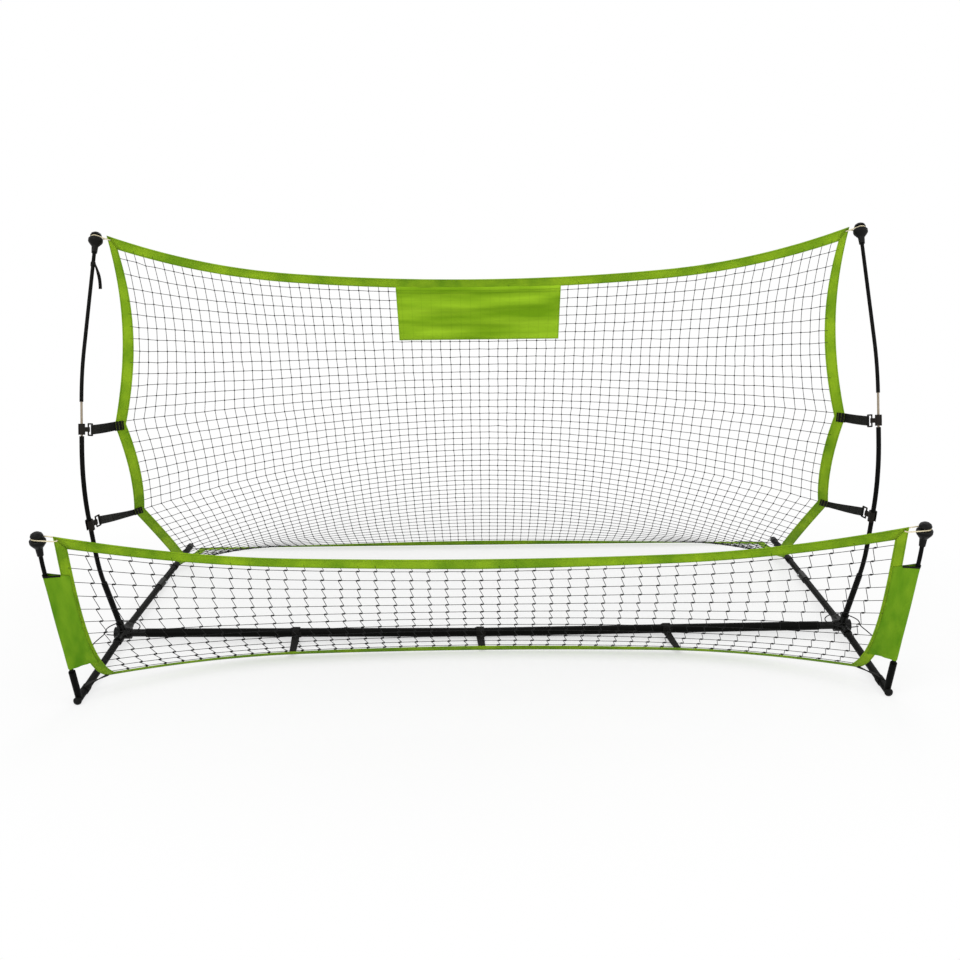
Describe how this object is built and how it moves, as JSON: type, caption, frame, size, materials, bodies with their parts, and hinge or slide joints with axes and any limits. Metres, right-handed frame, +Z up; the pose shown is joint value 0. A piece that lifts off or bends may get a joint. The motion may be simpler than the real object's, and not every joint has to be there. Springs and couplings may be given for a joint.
{
  "type": "pitch back rebounder",
  "caption": "Free-standing two-sided ball rebounder: a tall curved net on bowed poles over ground rails, and a low net on short poles in front, both edged with webbing.",
  "frame": {"origin": "middle of the footprint's bounding box, on the ground under the rails' end caps and the middle strap", "axes": "+X along the crossbar to the right as seen from the low net's side, +Y back towards the foot of the tall net, +Z up"},
  "size_m": [2.1954, 1.2726, 1.1363],
  "materials": {
    "black_steel": "satin black powder coat",
    "bright_steel": "zinc-plated steel",
    "black_plastic": "moulded black plastic",
    "pole_black": "black sleeved fibreglass",
    "bare_rod": "bare fibreglass rod, beige-brown",
    "net_cord": "knotted polyester cord",
    "green_webbing": "woven lime green webbing, stitched",
    "green_panel": "plain lime green cloth",
    "green_sleeve": "plain green cloth sleeve",
    "strap_webbing": "woven black webbing, stitched in green at the border",
    "black_webbing": "woven black webbing",
    "cream_elastic": "braided cream elastic cord",
    "black_cord": "braided black cord"
  },
  "bodies": {
    "frame": {"crossbar_left": "black_steel", "crossbar_right": "black_steel", "crossbar_joint_spigot": "bright_steel", "front_foot_caps": "black_plastic", "rear_end_caps": "black_plastic", "hub_cords": "black_cord", "pole_tie_strap": "black_webbing", "tall_net": "net_cord", "tall_net_border": "green_webbing", "front_net": "net_cord", "front_net_border": "green_webbing", "target_panel": "green_panel", "hub_left": "black_plastic", "front_rail_left": "black_steel", "rear_rail_inner_left": "black_steel", "rear_rail_outer_left": "black_steel", "rail_coupling_left": "black_plastic", "button_spring_left": "bright_steel", "tall_pole_socket_left": "black_steel", "tall_pole_lower_left": "pole_black", "tall_pole_joining_rod_left": "bare_rod", "tall_pole_upper_left": "pole_black", "tall_pole_cap_left": "black_plastic", "front_pole_socket_left": "black_steel", "front_pole_left": "pole_black", "front_pole_cap_left": "black_plastic", "pole_sleeve_left": "green_sleeve", "side_strap_lower_left": "strap_webbing", "side_strap_upper_left": "strap_webbing", "hub_right": "black_plastic", "front_rail_right": "black_steel", "rear_rail_inner_right": "black_steel", "rear_rail_outer_right": "black_steel", "rail_coupling_right": "black_plastic", "button_spring_right": "bright_steel", "tall_pole_socket_right": "black_steel", "tall_pole_lower_right": "pole_black", "tall_pole_joining_rod_right": "bare_rod", "tall_pole_upper_right": "pole_black", "tall_pole_cap_right": "black_plastic", "front_pole_socket_right": "black_steel", "front_pole_right": "pole_black", "front_pole_cap_right": "black_plastic", "pole_sleeve_right": "green_sleeve", "side_strap_lower_right": "strap_webbing", "side_strap_upper_right": "strap_webbing", "elastic_loops": "cream_elastic", "crossbar_straps": "black_webbing", "corner_straps": "black_webbing", "rear_tie_cords": "black_cord"},
    "button_left": {"snap_button_left": "bright_steel"},
    "clip_lower_left": {"pole_clip_lower_left": "black_plastic"},
    "ring_lower_left": {"strap_ring_lower_left": "black_plastic"},
    "clip_upper_left": {"pole_clip_upper_left": "black_plastic"},
    "ring_upper_left": {"strap_ring_upper_left": "black_plastic"},
    "button_right": {"snap_button_right": "bright_steel"},
    "clip_lower_right": {"pole_clip_lower_right": "black_plastic"},
    "ring_lower_right": {"strap_ring_lower_right": "black_plastic"},
    "clip_upper_right": {"pole_clip_upper_right": "black_plastic"},
    "ring_upper_right": {"strap_ring_upper_right": "black_plastic"}
  },
  "joints": [
    {"name": "button_press_left", "type": "slide", "parent": "frame", "child": "button_left", "axis": [-1, 0, 0], "range_m": [0, 0.004], "stiffness_N_per_m": 800, "springref_m": -0.002, "deforming": ["button_spring_left"]},
    {"name": "clip_slide_lower_left", "type": "slide", "parent": "frame", "child": "clip_lower_left", "axis": [0, -0.1908, 0.9816], "range_m": [-0.045, 0], "deforming": ["side_strap_lower_left"]},
    {"name": "ring_swivel_lower_left", "type": "hinge", "parent": "clip_lower_left", "child": "ring_lower_left", "pos_m": [-1.01397, -0.26779, 0.40673], "axis": [0, -0.1908, 0.9816], "range_deg": [-20, 20], "stiffness_Nm_per_rad": 0.05, "deforming": ["side_strap_lower_left"]},
    {"name": "clip_slide_upper_left", "type": "slide", "parent": "frame", "child": "clip_upper_left", "axis": [0, 0.2924, 0.9563], "range_m": [-0.003, 0.03], "deforming": ["side_strap_upper_left"]},
    {"name": "ring_swivel_upper_left", "type": "hinge", "parent": "clip_upper_left", "child": "ring_upper_left", "pos_m": [-1.01376, -0.24705, 0.65166], "axis": [0, 0.2924, 0.9563], "range_deg": [-20, 20], "stiffness_Nm_per_rad": 0.05, "deforming": ["side_strap_upper_left"]},
    {"name": "button_press_right", "type": "slide", "parent": "frame", "child": "button_right", "axis": [1, 0, 0], "range_m": [0, 0.004], "stiffness_N_per_m": 800, "springref_m": -0.002, "deforming": ["button_spring_right"]},
    {"name": "clip_slide_lower_right", "type": "slide", "parent": "frame", "child": "clip_lower_right", "axis": [0, -0.1908, 0.9816], "range_m": [-0.045, 0], "deforming": ["side_strap_lower_right"]},
    {"name": "ring_swivel_lower_right", "type": "hinge", "parent": "clip_lower_right", "child": "ring_lower_right", "pos_m": [1.01397, -0.26779, 0.40673], "axis": [0, -0.1908, 0.9816], "range_deg": [-20, 20], "stiffness_Nm_per_rad": 0.05, "deforming": ["side_strap_lower_right"]},
    {"name": "clip_slide_upper_right", "type": "slide", "parent": "frame", "child": "clip_upper_right", "axis": [0, 0.2924, 0.9563], "range_m": [-0.003, 0.03], "deforming": ["side_strap_upper_right"]},
    {"name": "ring_swivel_upper_right", "type": "hinge", "parent": "clip_upper_right", "child": "ring_upper_right", "pos_m": [1.01376, -0.24705, 0.65166], "axis": [0, 0.2924, 0.9563], "range_deg": [-20, 20], "stiffness_Nm_per_rad": 0.05, "deforming": ["side_strap_upper_right"]}
  ]
}
